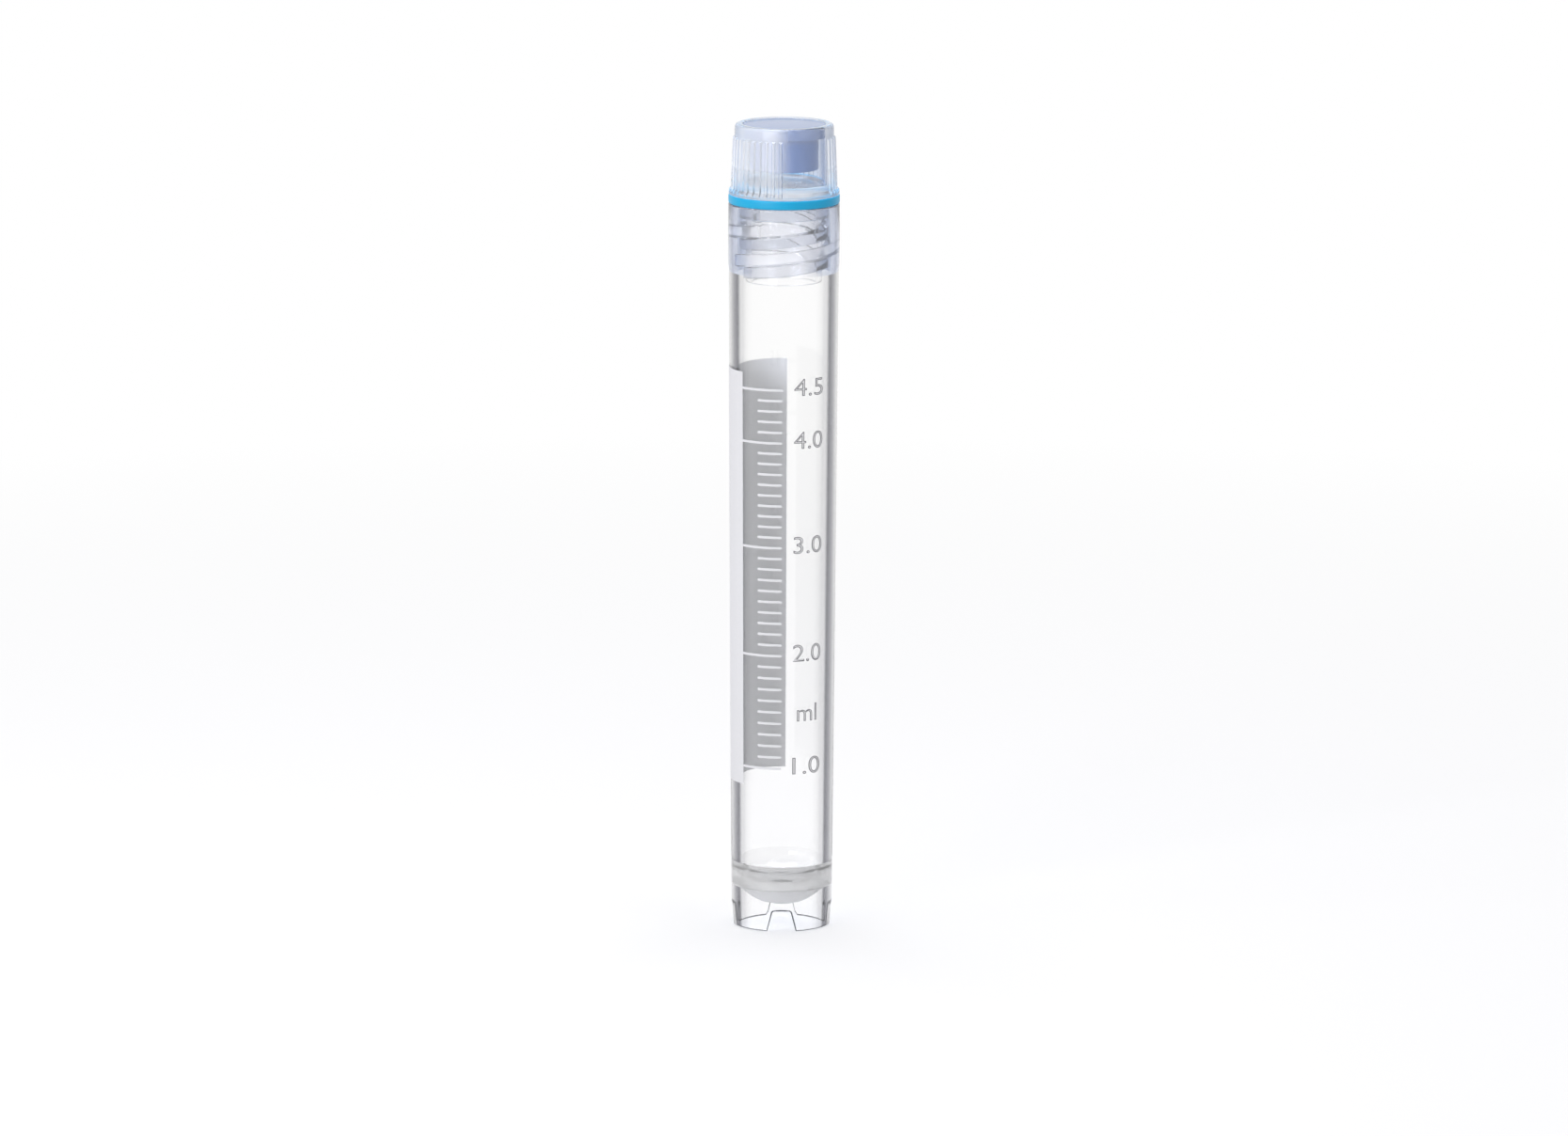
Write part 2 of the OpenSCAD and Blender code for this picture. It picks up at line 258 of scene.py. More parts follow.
def clearPlastic(name, look):
    # injection-moulded polypropylene: clear and glossy; tintAndShadeTones darken the wall as it turns away,
    # partly for the longer way through the plastic and partly as painted shade for the dark surroundings
    # that refraction shows there, and milk adds the pale haze of thicker mouldings
    material, tree = newTree(name)
    place = addNode(tree, "ShaderNodeTexCoord").outputs["Object"]
    flow = addNode(tree, "ShaderNodeTexNoise", {"Vector": place, "Scale": 1 / (look["flowSize"] * mm),
                                                "Detail": 3.0})
    peel = addNode(tree, "ShaderNodeTexNoise", {"Vector": place, "Scale": 1 / (look["peelSize"] * mm),
                                                "Detail": 2.0})
    bump = addNode(tree, "ShaderNodeBump", {"Height": peel.outputs["Fac"], "Strength": look["peelStrength"],
                                            "Distance": moulding["bumpDepth"] * mm})
    spread = moulding["roughSpread"]
    rough = addNode(tree, "ShaderNodeMapRange", {
        "Value": flow.outputs["Fac"], "To Min": look["roughness"] * (1 - spread),
        "To Max": look["roughness"] * (1 + spread)}).outputs["Result"]
    facing = facingRoundAxis(tree)
    edge = addNode(tree, "ShaderNodeValToRGB", {"Fac": facing})
    setRamp(edge, look["tintAndShadeTones"])
    tintWithShade = edge.outputs["Color"]
    frontClear = 1 - look["milk"]
    if "window" in look:
        window = look["window"]
        turn = addNode(tree, "ShaderNodeTexGradient", {"Vector": place},
                       gradient_type="RADIAL").outputs["Fac"]
        height = addNode(tree, "ShaderNodeSeparateXYZ", {"Vector": place}).outputs["Z"]
        polish = windowPolish(tree, turn, height, window)
        # the haze is lighter in the thin wall under thinHigh
        frontClear = addNode(tree, "ShaderNodeMapRange", {
            "Value": height, "From Min": (window["thinHigh"] - window["fade"]) * mm,
            "From Max": window["thinHigh"] * mm, "To Min": 1 - window["thinMilk"],
            "To Max": 1 - look["milk"]}).outputs["Result"]
        frontClear = addNode(tree, "ShaderNodeMapRange", {
            "Value": polish, "To Min": frontClear, "To Max": 1 - window["milk"]}).outputs["Result"]
        rough = addNode(tree, "ShaderNodeMapRange", {
            "Value": polish, "To Min": rough, "To Max": window["roughness"]}).outputs["Result"]
        # in the window the tones paint a blue-grey shade where the wall turns away
        pane = addNode(tree, "ShaderNodeValToRGB", {"Fac": facing})
        setRamp(pane, window["tones"])
        tintWithShade = addNode(tree, "ShaderNodeMix", {
            "Factor": polish, "A": tintWithShade, "B": pane.outputs["Color"]},
            data_type="RGBA").outputs["Result"]
    inner = addNode(tree, "ShaderNodeNewGeometry").outputs["Backfacing"]
    tint = addNode(tree, "ShaderNodeMix", {"Factor": inner, "A": tintWithShade, "B": fromHex(look["colour"])},
                   data_type="RGBA")
    clear = addNode(tree, "ShaderNodeMapRange", {"Value": inner, "To Min": frontClear,
                                                 "To Max": 1 - look["insideMilk"]})
    body = addNode(tree, "ShaderNodeBsdfPrincipled", {
        "Base Color": tint.outputs["Result"], "Roughness": rough, "IOR": moulding["ior"],
        "Transmission Weight": clear.outputs["Result"], "Normal": bump.outputs["Normal"]})
    # lamps shine straight through, with only a faint tint, so the shadow stays as light as a real one
    path = addNode(tree, "ShaderNodeLightPath")
    seeThrough = addNode(tree, "ShaderNodeBsdfTransparent", {"Color": fromHex(look["shadowColour"])})
    lit = addNode(tree, "ShaderNodeMixShader", {"Fac": path.outputs["Is Shadow Ray"], 1: body.outputs["BSDF"],
                                                2: seeThrough.outputs["BSDF"]})
    addNode(tree, "ShaderNodeOutputMaterial", {"Surface": lit.outputs["Shader"]})
    return material


def mattPlastic(name, look):
    # plastic moulded in a spark-eroded tool: an even, fine matt with a soft glow inside
    material, tree = newTree(name)
    place = addNode(tree, "ShaderNodeTexCoord").outputs["Object"]
    grain = addNode(tree, "ShaderNodeTexNoise", {"Vector": place, "Scale": 1 / (look["grainSize"] * mm),
                                                 "Detail": 2.0})
    cloud = addNode(tree, "ShaderNodeTexNoise", {"Vector": place, "Scale": 1 / (look["cloudSize"] * mm),
                                                 "Detail": 3.0})
    tone = addNode(tree, "ShaderNodeMix", {"Factor": cloud.outputs["Fac"], "A": fromHex(look["colour"]),
                                           "B": fromHex(look["cloudColour"])}, data_type="RGBA")
    bump = addNode(tree, "ShaderNodeBump", {"Height": grain.outputs["Fac"], "Strength": look["grainStrength"],
                                            "Distance": moulding["bumpDepth"] * mm})
    rough = addNode(tree, "ShaderNodeMapRange", {
        "Value": grain.outputs["Fac"], "To Min": look["roughness"] - moulding["mattSpread"],
        "To Max": look["roughness"] + moulding["mattSpread"]})
    body = addNode(tree, "ShaderNodeBsdfPrincipled", {
        "Base Color": tone.outputs["Result"], "Roughness": rough.outputs["Result"], "IOR": look["ior"],
        "Subsurface Weight": look["glow"], "Subsurface Radius": (1.0, 1.0, 1.0),
        "Subsurface Scale": moulding["glowReach"] * mm, "Normal": bump.outputs["Normal"]})
    addNode(tree, "ShaderNodeOutputMaterial", {"Surface": body.outputs["BSDF"]})
    return material


# The tube: a clear shell with a star foot, a rounded floor and an internal thread

tube = {
    "height": 82.35, "footRadius": 5.65, "baseRadius": 5.725, "bodyRadius": 6.175, "collarRadius": 6.245,
    "collarLow": 75.7, "slopeLow": 74.7, "bore": 5.25, "floorBore": 4.7, "floorWall": 7.4, "rimRound": 0.2,
    "skirtRound": 0.12, "footRound": 0.2, "baseBlend": 6, "bodyBlend": 4, "collarBlend": 1.5, "boreBlend": 20,
    "cornerRound": 1.6, "cornerSteps": 8, "crownRadius": 6.518, "floorLow": 4.7, "domeRadius": 6.3,
    "domeLow": 2.2, "domeSteps": 14, "skirtRadius": 4.95, "gateRadius": 1.2, "gateTop": 2.45,
    "gateBreak": 0.06, "notches": 4, "notchWidth": 3.2, "notchTop": 2.0, "notchHeight": 2.3,
    "notchRound": 0.25, "notchBreak": 0.16, "notchPast": 0.3, "notchMid": 5.0, "notchHalf": 1.0, "steps": 180,
    "thread": {**threadForm, "crest": 4.55, "start": -160, "low": 76.153, "sweep": 402},
    # where one finish ends and the next one starts
    "limits": {"slack": 0.02, "ridge": 0.1, "down": -0.3, "outward": 0.9, "footEdge": 5.2, "footTop": 0.1,
               "notchWall": 5.45, "notchOver": 0.2, "outerWall": 5.4},
}


def tubeWall(height):
    # outer radius of the body at a height, in mm
    share = (height - tube["floorWall"]) / (tube["slopeLow"] - tube["floorWall"])
    return tube["baseRadius"] + (tube["bodyRadius"] - tube["baseRadius"]) * share


def skirtWall(height):
    # outer radius of the skirt, which tapers less than the body
    share = height / tube["floorWall"]
    return tube["footRadius"] + (tube["baseRadius"] - tube["footRadius"]) * share


def domeHeight(radius):
    # height of the hollow under the floor at a radius
    return tube["domeLow"] + tube["domeRadius"] - math.sqrt(tube["domeRadius"] ** 2 - radius ** 2)


def tubeSection():
    # the half section, from the gate in the middle of the foot, up the outside and down the bore
    t = tube
    domeMid = t["domeLow"] + t["domeRadius"]
    gateTurn = math.degrees(math.asin(t["gateRadius"] / t["domeRadius"]))
    skirtTurn = math.degrees(math.asin(t["skirtRadius"] / t["domeRadius"]))
    dome = arcLine(0, domeMid, t["domeRadius"], gateTurn - 90, skirtTurn - 90, t["domeSteps"])
    outside = roundedLine([
        (dome[-1].x, dome[-1].y, 0), (t["skirtRadius"], 0, t["skirtRound"]),
        (t["footRadius"], 0, t["footRound"]), (skirtWall(dome[-1].y), dome[-1].y, 0),
        (t["baseRadius"], t["floorWall"], t["baseBlend"]), (t["bodyRadius"], t["slopeLow"], t["bodyBlend"]),
        (t["collarRadius"], t["collarLow"], t["collarBlend"]),
        (t["collarRadius"], t["height"], t["rimRound"]), (t["bore"], t["height"], t["rimRound"]),
        (t["bore"], t["slopeLow"], t["boreBlend"]), (t["floorBore"], t["floorWall"], 0)])
    crownMid = t["floorLow"] + t["crownRadius"]
    cornerRadius = t["floorBore"] - t["cornerRound"]
    touch = math.degrees(math.atan2(t["floorWall"] - crownMid, cornerRadius))
    corner = arcLine(cornerRadius, t["floorWall"], t["cornerRound"], 0, touch, t["cornerSteps"])
    crown = arcLine(0, crownMid, t["crownRadius"], touch, -90, t["domeSteps"])
    gate = [Vector((0, t["gateTop"])), Vector((t["gateRadius"] - t["gateBreak"], t["gateTop"])),
            Vector((t["gateRadius"], t["gateTop"] - t["gateBreak"]))]
    return gate + dome + outside[1:] + corner[1:] + crown[1:]


def notchCutter(turn):
    # a trapezium prism with a rounded roof, pushed through the skirt; it flares at the outer wall
    t = tube
    cutter = bmesh.new()
    bmesh.ops.create_cube(cutter, size=1)
    for v in cutter.verts:
        high = v.co.z > 0
        half = (t["notchTop"] if high else 2 * t["notchWidth"] - t["notchTop"]) / 2
        v.co = Vector((math.copysign(half, v.co.x), math.copysign(t["notchHalf"], v.co.y) - t["notchMid"],
                       t["notchHeight"] * (1 if high else -1))) * mm
    top = [e for e in cutter.edges if all(v.co.z > 0 for v in e.verts)]
    sides = [e for e in top if abs(e.verts[0].co.x - e.verts[1].co.x) < drawing["mergeNear"]]
    bmesh.ops.bevel(cutter, geom=sides, offset=t["notchRound"] * mm, segments=4, profile=0.5, affect="EDGES",
                    material=-1)
    bmesh.ops.bisect_plane(cutter, geom=cutter.verts[:] + cutter.edges[:] + cutter.faces[:],
                           plane_co=(0, 0, 0), plane_no=(0, 0, 1))
    front = [f for f in cutter.faces if all(v.co.y < -t["notchMid"] * mm for v in f.verts)]
    for reach in (t["notchBreak"], -t["notchPast"]):
        # the front is brought to just under the curved wall, then drawn out past it and widened
        if reach < 0:
            old = front
            drawn = bmesh.ops.extrude_face_region(cutter, geom=front)["geom"]
            front = [g for g in drawn if isinstance(g, bmesh.types.BMFace)]
            bmesh.ops.delete(cutter, geom=old, context="FACES")
        for v in {v for f in front for v in f.verts}:
            x, z = v.co.x / mm, v.co.z / mm
            if reach < 0:
                grow = t["notchBreak"] - reach
                x += math.copysign(grow, x) if abs(x) > 0.05 else 0
                z += grow if z > t["notchHeight"] - 0.3 else 0
                v.co = Vector((x, v.co.y / mm - grow, z)) * mm
            else:
                v.co.y = -(math.sqrt(skirtWall(max(z, 0)) ** 2 - x * x) - reach) * mm
    bmesh.ops.rotate(cutter, verts=cutter.verts, cent=(0, 0, 0), matrix=Matrix.Rotation(turn, 3, "Z"))
    bmesh.ops.recalc_face_normals(cutter, faces=cutter.faces)
    return newObject("notchCutter", cutter)


# clear polypropylene from a polished tool: glass-clear and glossy, with the faintest ripple
clearLook = {"colour": "#FEFEFE", "tintAndShadeTones": [(0.0, "#FEFEFE")], "shadowColour": "#EEF0F4",
             "roughness": 0.02, "milk": 0.0, "insideMilk": 0.0, "flowSize": 9, "peelSize": 1.2,
             "peelStrength": 0.05}
clearInside = clearPlastic("clearMouldedPolypropylene", clearLook)

# the outer wall: clear in the middle, then grey, a thin dark line and a lighter edge as it turns away:
# painted shade for the dark surroundings that refraction shows near the edge
wallShadeTones = [(0.0, "#FEFEFE"), (0.15, "#FCFCFC"), (0.2, "#FAFAFA"), (0.27, "#EAEAEA"), (0.325, "#CCCCCE"),
             (0.387, "#BEBEC0"), (0.42, "#808084"), (0.45, "#44444A"), (0.47, "#3C3C42"), (0.51, "#4E4E54"),
             (0.565, "#5A5A60"), (0.63, "#7C7C80"), (0.72, "#ACACAE"), (1.0, "#ECECEC")]
clearWall = clearPlastic("clearMouldedPolypropyleneWall", {**clearLook, "tintAndShadeTones": wallShadeTones})

# the hollow under the floor, from a spark-eroded tool: frosted, so it reads as a soft grey cap
sparkedDome = clearPlastic("sparkErodedPolypropylene", {
    **clearLook, "colour": "#F2F2F4", "tintAndShadeTones": [(0.0, "#CECED0")], "roughness": 0.5, "milk": 0.6,
    "insideMilk": 0.03, "peelSize": 0.15, "peelStrength": 0.4})

# painted shade round the foot's notches, along its bottom rim and in the gate: thin dark lines and a dark
# spot, standing in for the dark that refraction shows at these sharp edges
edgeShade = clearPlastic("paintedEdgeShade", {
    **clearLook, "colour": "#50545A", "tintAndShadeTones": [(0.0, "#50545A")], "roughness": 0.2, "milk": 0.7,
    "insideMilk": 0.7})

# the thickest plastic, round the floor, scatters light: a pale grey haze
thickHaze = clearPlastic("hazyThickPolypropylene", {
    **clearLook, "colour": "#F6F6F6", "tintAndShadeTones": [(0.0, "#C8C8C8")], "roughness": 0.1, "milk": 0.5,
    "insideMilk": 0.1})

# the collar is a little thicker than the body: a slight haze; its sides get a painted blue-grey shade,
# standing in for the blue gasket and cap reflected and led down its wall, and for the dark that refraction
# shows there
collarShadeAndBlueTones = [(0.0, "#FEFEFE"), (0.1, "#F8F8F8"), (0.2, "#E3E4E9"), (0.32, "#BEC6D6"), (0.43, "#AEB8CE"),
               (0.55, "#A4AECA"), (0.62, "#8088A0"), (0.72, "#A8B0C6"), (1.0, "#C4C8D4")]
collarHazeAndPaintedBlue = clearPlastic("hazyCollarWithPaintedBlue", {
    **clearLook, "colour": "#FAFBFE", "tintAndShadeTones": collarShadeAndBlueTones, "milk": 0.05, "insideMilk": 0.1})

# the thread in the neck: thick ridges, paler than the wall that they stand on
ridgeHaze = clearPlastic("hazyThreadPolypropylene", {
    **clearLook, "colour": "#F4F5FA", "tintAndShadeTones": [(0.0, "#F8F8FC")], "roughness": 0.06, "milk": 0.1,
    "insideMilk": 0.32})


def tubePlace(face):
    # the place of a face on the tube, by its radius, its height and the way it faces
    limits = tube["limits"]
    middle = face.center / mm
    radius, height = middle.xy.length, middle.z
    outward = face.normal.xy.dot(middle.xy) / max(radius, 0.01)
    domeTop = domeHeight(tube["skirtRadius"])
    inNotch = (height < tube["notchHeight"] + limits["notchOver"] and radius > limits["notchWall"]
               and abs(outward) < limits["outward"])
    if height > tube["slopeLow"]:
        return "thread" if radius < tube["bore"] - limits["ridge"] else "collar"
    # the gate, the foot's bottom rim and its notches take the painted edge shade
    if radius < tube["gateRadius"] and height < tube["gateTop"] + limits["slack"]:
        return "edge"
    if radius < tube["skirtRadius"] + limits["slack"] and height < domeTop and face.normal.z < limits["down"]:
        return "dome"
    if radius > limits["footEdge"] and (height < limits["footTop"] or inNotch):
        return "edge"
    if domeTop < height < tube["floorWall"] and radius > limits["outerWall"]:
        return "bottom"
    return "wall" if outward > limits["outward"] and radius > limits["outerWall"] else "inside"


tubeShell = newObject("tubeShell", spunShape(tubeSection(), tube["steps"]))
combine(tubeShell, newObject("ridge", helixRidge(tube["thread"], tube["bore"])), "UNION")
for i in range(tube["notches"]):
    combine(tubeShell, notchCutter(math.tau * i / tube["notches"]), "DIFFERENCE")
finishPiece(tubeShell, {"wall": clearWall, "inside": clearInside, "dome": sparkedDome, "edge": edgeShade,
                        "bottom": thickHaze, "collar": collarHazeAndPaintedBlue, "thread": ridgeHaze},
            "vial_tube", "tube", placeOf=tubePlace)


# The cap: a ribbed grip with a smooth window, a flange and a threaded stem

cap = {
    "low": 73.55, "coreRadius": 4.3, "stemBore": 3.65, "stemRound": 0.1, "tipRound": 0.2, "webLow": 83.4,
    "webRound": 0.15, "sealLow": 80.85, "sealRadius": 5.08, "sealRound": 0.12, "flangeLow": 83.35,
    "flangeRadius": 6.2, "flangeEdge": 0.25, "flangeRound": 0.06, "flangeTopRound": 0.08, "slopeMid": 83.85,
    "baseRadius": 5.8, "base": 84.1, "topRadius": 5.525, "top": 91.3, "topRound": 0.4, "socketRadius": 4.65,
    "socketLow": 84.6, "mouthRound": 0.12, "socketRound": 0.1, "ribLow": 83.65, "ribRise": 83.8,
    "ribTop": 89.9, "ribHeight": 0.18, "ribTipShare": 0.56, "ribs": 44, "windowRibs": 7, "windowStart": -90,
    "columns": 9, "ribColumns": 5, "sharp": 28,
    "thread": {**threadForm, "crest": 5.0, "start": -180, "low": 74.525, "sweep": 711.5},
    # where one finish ends and the next one starts
    "limits": {"slack": 0.02, "grip": 5.3, "rim": 5.0, "edge": 0.05, "web": 4.7, "webRise": 0.12,
               "down": -0.5},
}


def gripWall(height):
    # outer radius of the grip between its ribs, at a height
    slope = (cap["baseRadius"] - cap["topRadius"]) / (cap["top"] - cap["topRound"] - cap["base"])
    return cap["baseRadius"] - (height - cap["base"]) * slope


def capSection():
    # the half section, from the web down the stem, out along the flange and up to the socket's floor
    c = cap
    ribShoulder = c["ribTop"] - c["ribHeight"]
    return roundedLine([
        (0, c["webLow"], 0), (c["stemBore"], c["webLow"], c["webRound"]),
        (c["stemBore"], c["low"], c["stemRound"]), (c["coreRadius"], c["low"], c["tipRound"]),
        (c["coreRadius"], c["sealLow"], c["stemRound"]),
        (c["sealRadius"], c["sealLow"], c["sealRound"]), (c["sealRadius"], c["flangeLow"], 0),
        (c["flangeRadius"], c["flangeLow"], c["flangeRound"]),
        (c["flangeRadius"], c["flangeLow"] + c["flangeEdge"], c["flangeTopRound"]),
        ((c["flangeRadius"] + c["baseRadius"]) / 2, c["slopeMid"], 0), (c["baseRadius"], c["base"], 0),
        (gripWall(ribShoulder), ribShoulder, 0), (gripWall(c["ribTop"]), c["ribTop"], 0),
        (c["topRadius"], c["top"], c["topRound"]), (c["socketRadius"], c["top"], c["mouthRound"]),
        (c["socketRadius"], c["socketLow"], c["socketRound"]), (0, c["socketLow"], 0)])


def raiseRibs(shape):
    # the columns of wall faces that carry a rib are extruded and drawn in towards the rib's tip
    c = cap
    cell = math.tau / c["ribs"]
    margin = (c["columns"] - c["ribColumns"]) / 2

    def cellOf(x, y):
        turn = (math.atan2(y, x) - math.radians(c["windowStart"])) % math.tau
        return int(turn / cell), turn / cell % 1

    def onRib(face):
        middle = face.calc_center_median() / mm
        index, part = cellOf(middle.x, middle.y)
        onGrip = c["ribLow"] < middle.z < c["ribTop"] and middle.xy.length > c["limits"]["grip"]
        return onGrip and index >= c["windowRibs"] and margin < part * c["columns"] < c["columns"] - margin

    feet = [f for f in shape.faces if onRib(f)]
    raised = bmesh.ops.extrude_face_region(shape, geom=feet)["geom"]
    bmesh.ops.delete(shape, geom=[f for f in feet if f.is_valid], context="FACES")
    for v in (g for g in raised if isinstance(g, bmesh.types.BMVert)):
        height = v.co.z / mm
        if height < c["ribRise"] or height > c["ribTop"] - c["limits"]["edge"]:
            continue
        index, part = cellOf(v.co.x, v.co.y)
        turn = math.radians(c["windowStart"]) + cell * (index + 0.5 + (part - 0.5) * c["ribTipShare"])
        radius = v.co.xy.length + c["ribHeight"] * mm
        v.co.xy = (radius * math.cos(turn), radius * math.sin(turn))
    bmesh.ops.remove_doubles(shape, verts=shape.verts, dist=drawing["mergeNear"])
    bmesh.ops.recalc_face_normals(shape, faces=shape.faces)


# blue-tinted polypropylene from a polished tool: glossy and see-through, the tint shows where it is thick
blueLook = {"colour": "#EFF1F6", "tintAndShadeTones": [(0.0, "#EFF1F6"), (0.5, "#DCE3EE"), (1.0, "#E6EAF2")],
            "shadowColour": "#EEF3FC", "roughness": 0.05, "milk": 0.03, "insideMilk": 0.0, "flowSize": 7,
            "peelSize": 0.9, "peelStrength": 0.1}
bluePolished = clearPlastic("polishedBluePolypropylene", blueLook)

# the grip, from a fine-eroded tool: satin and milky, with one polished window left clear for the insert; its
# tones paint shade at the turning sides, darkest at the outline, and the window's tones paint a blue-grey
# shade towards its far side
blueGrip = clearPlastic("satinBluePolypropylene", {
    **blueLook, "colour": "#E8EEF8",
    "tintAndShadeTones": [(0.0, "#F6F7FA"), (0.3, "#F0F4FA"), (0.6, "#D2DCF0"), (0.8, "#C4D0E6"), (1.0, "#5A6480")],
    "roughness": 0.22, "milk": 0.62, "insideMilk": 0.06,
    "window": {"from": -90, "to": -32.7, "fadeIn": 12, "fadeOut": 4, "low": 84.7, "high": 89.7, "fade": 0.3,
               "bandPolish": 0.8, "milk": 0.03, "roughness": 0.06, "thinHigh": 86.7, "thinMilk": 0.4,
               "tones": [(0.0, "#E8EEF8"), (0.27, "#E4EAF6"), (0.33, "#98A6C4"), (0.6, "#98A6C4"),
                         (1.0, "#8894B0")]}})

# the web between stem and socket is thick and dull: it spreads light and looks a little foggy
blueWeb = clearPlastic("thickBluePolypropylene", {
    **blueLook, "colour": "#FAFBFE", "tintAndShadeTones": [(0.0, "#F8F9FD")], "roughness": 0.25, "milk": 0.1,
    "insideMilk": 0.02})

# the rounded rim gathers light: a milky pale ring
blueRim = clearPlastic("roundedBluePolypropyleneRim", {
    **blueLook, "colour": "#E8ECF6", "tintAndShadeTones": [(0.0, "#E8ECF6")], "milk": 0.35})

# the stem's thin wall is too thin for its tint to show: nearly as clear as the tube
blueStem = clearPlastic("thinBluePolypropylene", {
    **blueLook, "colour": "#FEFEFF", "tintAndShadeTones": [(0.0, "#FEFEFF")], "milk": 0.0})

# the stem's thread: thicker ridges, so the blue-grey tint comes back in bands
blueThread = clearPlastic("ribbedBluePolypropylene", {
    **blueLook, "colour": "#E6E9F0", "tintAndShadeTones": [(0.0, "#CACEDA")]})


def capPlace(face):
    # the place of a face on the cap, by its radius, its height and the way it faces
    limits = cap["limits"]
    middle = face.center / mm
    radius, height = middle.xy.length, middle.z
    outward = face.normal.xy.dot(middle.xy) > 0
    if radius > limits["grip"] and height > cap["flangeLow"] + limits["slack"] and outward:
        return "grip"
    if height > cap["top"] - limits["edge"] or (height > cap["ribTop"] and radius < limits["rim"]):
        return "rim"
    if height < cap["flangeLow"] - limits["edge"]:
        return "thread" if radius > cap["coreRadius"] + limits["edge"] else "stem"
    inWeb = height < cap["socketLow"] + limits["webRise"]
    return "web" if inWeb and (radius < limits["web"] or face.normal.z < limits["down"]) else "socket"


capShape = spunShape(capSection(), cap["ribs"] * cap["columns"])
bmesh.ops.rotate(capShape, verts=capShape.verts, cent=(0, 0, 0),
                 matrix=Matrix.Rotation(math.radians(cap["windowStart"]), 3, "Z"))
raiseRibs(capShape)
capShell = newObject("capShell", capShape)
combine(capShell, newObject("ridge", helixRidge(cap["thread"], cap["coreRadius"])), "UNION")
finishPiece(capShell, {"socket": bluePolished, "grip": blueGrip, "web": blueWeb, "rim": blueRim,
                       "stem": blueStem, "thread": blueThread},
            "screw_cap", "cap", sharp=cap["sharp"], placeOf=capPlace)


# The gasket: a flat ring between the rim and the flange

# "press" is how far it goes into its neighbours, so no air shows between them
gasket = {"inner": 5.13, "outer": 6.24, "low": 82.35, "thickness": 1.0, "round": 0.2, "innerRound": 0.05,
          "press": 0.004, "steps": 160}

# moulded silicone rubber: dull, dense blue with a slight glow at its edges
silicone = mattPlastic("blueMouldedSilicone", {
    "colour": "#0EACDE", "cloudColour": "#12B2E4", "roughness": 0.38, "ior": 1.42, "glow": 0.15,
    "grainSize": 0.12, "cloudSize": 2.5, "grainStrength": 0.1})

under = gasket["low"] - gasket["press"]
over = gasket["low"] + gasket["thickness"] + gasket["press"]
ringLine = roundedLine([
    (gasket["inner"], under, gasket["innerRound"]), (gasket["outer"], under, gasket["round"]),
    (gasket["outer"], over, gasket["round"]), (gasket["inner"], over, gasket["innerRound"])])
sealRing = newObject("sealRing", spunShape(ringLine, gasket["steps"], closed=True))
finishPiece(sealRing, {"ring": silicone}, "cap_seal", "gasket")


# The insert: a disc with a skirt, in the top of the cap

insert = {"radius": 4.62, "skirtRadius": 3.9, "low": 86.18, "top": 91.18, "disc": 1.3, "wall": 0.65,
          "topRound": 0.12, "innerRound": 0.2, "outerRound": 0.15, "edgeRound": 0.05, "steps": 160}

# polypropylene coloured in the mass, from a fine-eroded tool: an even lavender with a low sheen
insertPp = mattPlastic("lavenderMouldedPolypropylene", {
    "colour": "#8092B8", "cloudColour": "#8698BE", "roughness": 0.2, "ior": moulding["ior"], "glow": 0.2,
    "grainSize": 0.15, "cloudSize": 3, "grainStrength": 0.25})

discLow = insert["top"] - insert["disc"]
innerRadius = insert["skirtRadius"] - insert["wall"]
insertLine = roundedLine([
    (0, discLow, 0), (innerRadius, discLow, insert["innerRound"]),
    (innerRadius, insert["low"], insert["edgeRound"]),
    (insert["skirtRadius"], insert["low"], insert["edgeRound"]),
    (insert["skirtRadius"], discLow, insert["outerRound"]), (insert["radius"], discLow, insert["edgeRound"]),
    (insert["radius"], insert["top"], insert["topRound"]), (0, insert["top"], 0)])
colourInsert = newObject("colourInsert", spunShape(insertLine, insert["steps"]))
finishPiece(colourInsert, {"disc": insertPp}, "screw_cap", "cap_insert")


# The print on the tube: writing panel, graduation and numerals, at angles from the graduated side

ink = {"proud": 0.01, "thickness": 0.02, "roughness": 0.55, "meshSize": 0.25, "meshDepth": 0.01,
       "meshStrength": 0.15}


def inkMaterial(name, look):
    # screen-printed pigment ink: dense and matt, with the print mesh's faint unevenness
    material, tree = newTree(name)
    place = addNode(tree, "ShaderNodeTexCoord").outputs["Object"]
    weave = addNode(tree, "ShaderNodeTexNoise", {"Vector": place, "Scale": 1 / (ink["meshSize"] * mm),
                                                 "Detail": 2.0}).outputs["Fac"]
    tone = addNode(tree, "ShaderNodeMix", {"Factor": weave, "A": fromHex(look["colour"]),
                                           "B": fromHex(look["thinColour"])}, data_type="RGBA")
    bump = addNode(tree, "ShaderNodeBump", {"Height": weave, "Strength": ink["meshStrength"],
                                            "Distance": ink["meshDepth"] * mm})
    body = addNode(tree, "ShaderNodeBsdfPrincipled", {
        "Base Color": tone.outputs["Result"], "Roughness": ink["roughness"],
        "Normal": bump.outputs["Normal"]})
    addNode(tree, "ShaderNodeOutputMaterial", {"Surface": body.outputs["BSDF"]})
    return material


# the outer face is a soft white; the inner face, seen through the tube, is painted brighter as a stand-in for
# lamp light shining through the thin ink, and the numerals' faces use the same bright white
whiteInk = inkMaterial("whiteScreenInk", {"colour": "#EAEAEE", "thinColour": "#E4E4E8"})
brightInkAndBackLight = inkMaterial("whiteInkWithPaintedBackLight", {"colour": "#FAFAFC", "thinColour": "#F2F2F4"})
# a fine grey outline round each stroke: painted shade along the strokes' edges
inkOutlineShade = inkMaterial("paintedShadeInkOutline", {"colour": "#5A5A60", "thinColour": "#7C7C82"})


def inkCoat(face):
    # inner faces take the bright ink, painted brighter for the lamp light that comes through the ink
    return "outer" if face.normal.xy.dot(face.center.xy) > 0 else "base"


